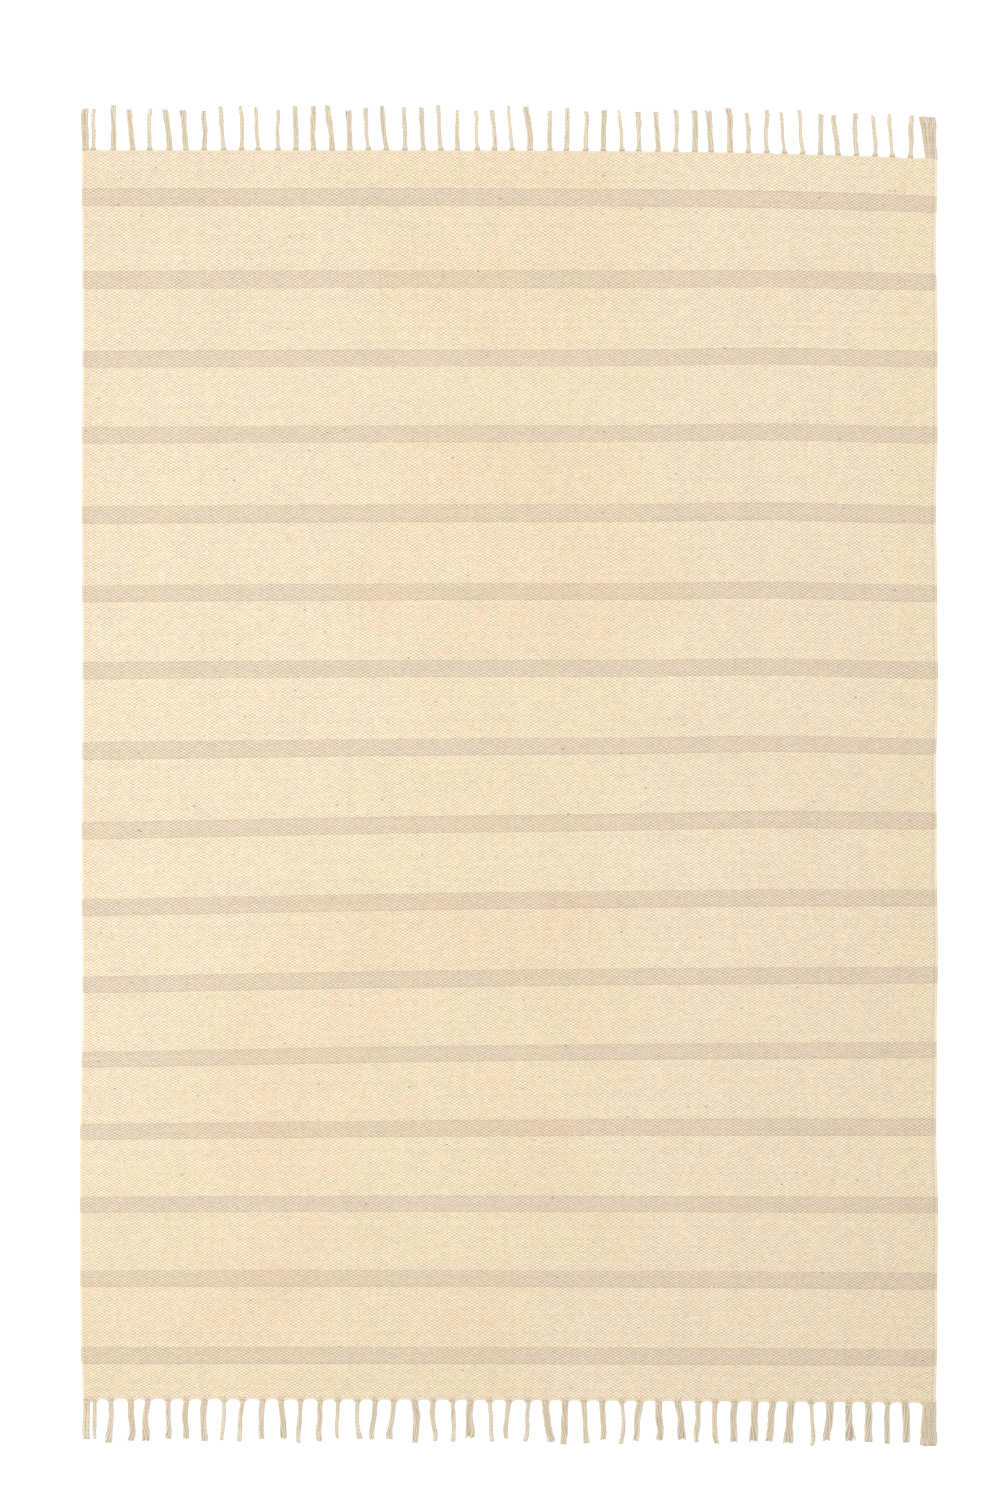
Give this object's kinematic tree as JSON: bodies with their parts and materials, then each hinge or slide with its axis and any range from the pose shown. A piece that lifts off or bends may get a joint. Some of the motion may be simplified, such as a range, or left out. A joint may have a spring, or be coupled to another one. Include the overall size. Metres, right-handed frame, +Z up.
{
  "type": "striped flat-weave rug",
  "caption": "Rectangular flat-woven cotton rug with narrow cross stripes and a knotted tassel fringe along both short ends.",
  "frame": {"origin": "centre of the rug's footprint, on the surface that it lies on", "axes": "+Y along the length towards the back end, +X across the width, +Z up out of the woven face"},
  "size_m": [1.2, 1.8814, 0.0058],
  "materials": {
    "cream_weft": "matt hand-woven cotton",
    "taupe_weft": "matt hand-woven cotton",
    "warp_yarn": "matt twisted cotton yarn",
    "edge_yarn": "matt packed cotton yarn",
    "fringe_yarn": "matt loose cotton yarn"
  },
  "bodies": {
    "rug": {"ground_band_01": "cream_weft", "ground_band_02": "cream_weft", "ground_band_03": "cream_weft", "ground_band_04": "cream_weft", "ground_band_05": "cream_weft", "ground_band_06": "cream_weft", "ground_band_07": "cream_weft", "ground_band_08": "cream_weft", "ground_band_09": "cream_weft", "ground_band_10": "cream_weft", "ground_band_11": "cream_weft", "ground_band_12": "cream_weft", "ground_band_13": "cream_weft", "ground_band_14": "cream_weft", "ground_band_15": "cream_weft", "ground_band_16": "cream_weft", "ground_band_17": "cream_weft", "stripe_band_01": "taupe_weft", "stripe_band_02": "taupe_weft", "stripe_band_03": "taupe_weft", "stripe_band_04": "taupe_weft", "stripe_band_05": "taupe_weft", "stripe_band_06": "taupe_weft", "stripe_band_07": "taupe_weft", "stripe_band_08": "taupe_weft", "stripe_band_09": "taupe_weft", "stripe_band_10": "taupe_weft", "stripe_band_11": "taupe_weft", "stripe_band_12": "taupe_weft", "stripe_band_13": "taupe_weft", "stripe_band_14": "taupe_weft", "stripe_band_15": "taupe_weft", "stripe_band_16": "taupe_weft", "warp_ends": "warp_yarn", "selvedge_left": "edge_yarn", "selvedge_right": "edge_yarn", "heading_back": "edge_yarn", "heading_front": "edge_yarn", "knots_back": "fringe_yarn", "knots_front": "fringe_yarn"},
    "back_fringe": {"tassels_back": "fringe_yarn", "corner_tassel_back_left": "fringe_yarn", "corner_tassel_back_right": "fringe_yarn"},
    "front_fringe": {"tassels_front": "fringe_yarn", "corner_tassel_front_left": "fringe_yarn", "corner_tassel_front_right": "fringe_yarn"}
  },
  "joints": [
    {"name": "back_fringe_flip", "type": "hinge", "parent": "rug", "child": "back_fringe", "pos_m": [0, 0.88485, 0.0062], "axis": [1, 0, 0], "range_deg": [0, 178]},
    {"name": "front_fringe_flip", "type": "hinge", "parent": "rug", "child": "front_fringe", "pos_m": [0, -0.88485, 0.0062], "axis": [-1, 0, 0], "range_deg": [0, 178]}
  ]
}
